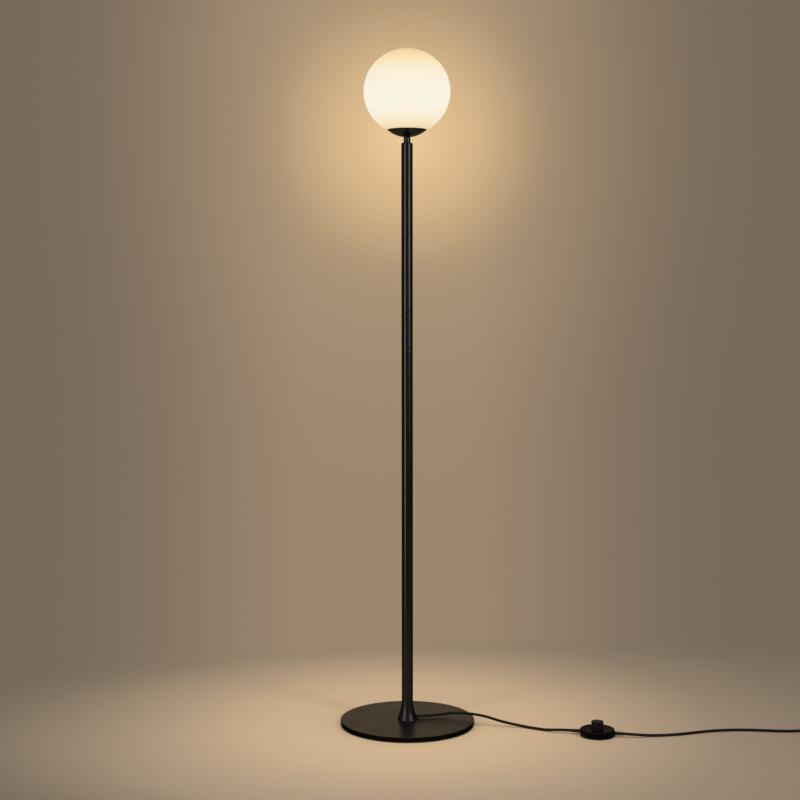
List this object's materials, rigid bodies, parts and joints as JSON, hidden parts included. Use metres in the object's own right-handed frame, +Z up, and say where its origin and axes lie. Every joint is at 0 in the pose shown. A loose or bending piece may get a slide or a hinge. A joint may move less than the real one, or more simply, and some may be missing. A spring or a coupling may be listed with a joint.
{
  "type": "floor lamp",
  "caption": "Globe floor lamp: opal glass globe in a shallow metal cup on a slim black pole and round base, with a corded foot switch and a coiled lead.",
  "frame": {"origin": "centre of the round base, at the floor", "axes": "+Z up along the pole, +X towards the side where the cord leaves the base, -Y towards the picture's camera"},
  "size_m": [1.1436, 0.3, 1.4978],
  "materials": {
    "powder_coat": "satin black powder coat",
    "gloss_black": "semi-gloss black enamel",
    "foam_pad": "matte foam",
    "black_rubber": "matte rubber",
    "cord_sheath": "smooth satin PVC sheath",
    "tie_strap": "woven hook-and-loop strap",
    "switch_plastic": "fine moulded texture",
    "plug_plastic": "fine moulded texture",
    "holder_plastic": "moulded thermoset",
    "wire_insulation": "smooth insulation",
    "opal_glass": "opal glass, satin outside",
    "diffuser_plastic": "frosted",
    "white_plastic": "smooth white",
    "led_board": "white solder mask",
    "led_chip": "phosphor",
    "brass": "plain",
    "brass_nickel": "nickel plated",
    "plated_steel": "zinc plated",
    "spring_steel": "bright spring steel"
  },
  "bodies": {
    "stand": {"base_pad": "foam_pad", "base_plate": "powder_coat", "base_screws": "plated_steel", "stem_foot": "gloss_black", "exit_bushing": "black_rubber", "inner_flex": "cord_sheath", "pole_lower": "powder_coat", "pole_middle": "powder_coat", "pole_upper": "powder_coat", "pole_insert_1": "plated_steel", "pole_insert_2": "plated_steel", "pole_insert_3": "plated_steel", "pole_stud_1": "plated_steel", "pole_stud_2": "plated_steel", "pole_cap": "powder_coat", "neck_sleeve": "gloss_black", "threaded_nipple": "plated_steel", "nipple_nut": "plated_steel", "cup": "gloss_black", "clip_spider": "plated_steel", "glass_clips": "spring_steel", "clip_rivets": "plated_steel", "holder_dome": "holder_plastic", "holder_core": "holder_plastic", "holder_skirt": "holder_plastic", "holder_screw_shell": "brass", "holder_contacts": "brass", "holder_terminals": "brass", "holder_wires": "wire_insulation", "cord_lamp_run": "cord_sheath", "cord_switch_run": "cord_sheath", "cord_coil": "cord_sheath", "cord_tail": "cord_sheath", "cord_tie": "tie_strap", "switch_pad": "black_rubber", "switch_base": "switch_plastic", "switch_cover": "switch_plastic", "switch_spring": "spring_steel", "switch_block": "holder_plastic", "switch_terminals": "brass", "switch_terminal_screws": "plated_steel", "switch_cord_clamps": "switch_plastic", "switch_tails": "cord_sheath", "switch_relief_in": "black_rubber", "switch_relief_out": "black_rubber", "switch_screws": "plated_steel", "plug_body": "plug_plastic", "plug_relief": "plug_plastic", "plug_pins": "brass_nickel", "plug_pin_sleeves": "plug_plastic"},
    "globe": {"glass_globe_lower": "opal_glass", "glass_globe_upper": "opal_glass"},
    "bulb": {"bulb_tip": "brass", "bulb_insulator": "holder_plastic", "bulb_cap": "brass_nickel", "bulb_housing": "white_plastic", "bulb_diffuser": "diffuser_plastic", "bulb_led_board": "led_board", "bulb_leds": "led_chip"},
    "button": {"switch_button": "switch_plastic"}
  },
  "joints": [
    {"name": "switch_button_press", "type": "slide", "parent": "stand", "child": "button", "axis": [0, 0, -1], "range_m": [0, 0.004], "stiffness_N_per_m": 1200, "springref_m": -0.003, "deforming": ["switch_spring"]},
    {"name": "bulb_out", "type": "slide", "parent": "stand", "child": "bulb", "axis": [0, 0, 1], "range_m": [0, 0.027]},
    {"name": "globe_lift", "type": "slide", "parent": "stand", "child": "globe", "axis": [0, 0, 1], "range_m": [0, 0.14]}
  ]
}
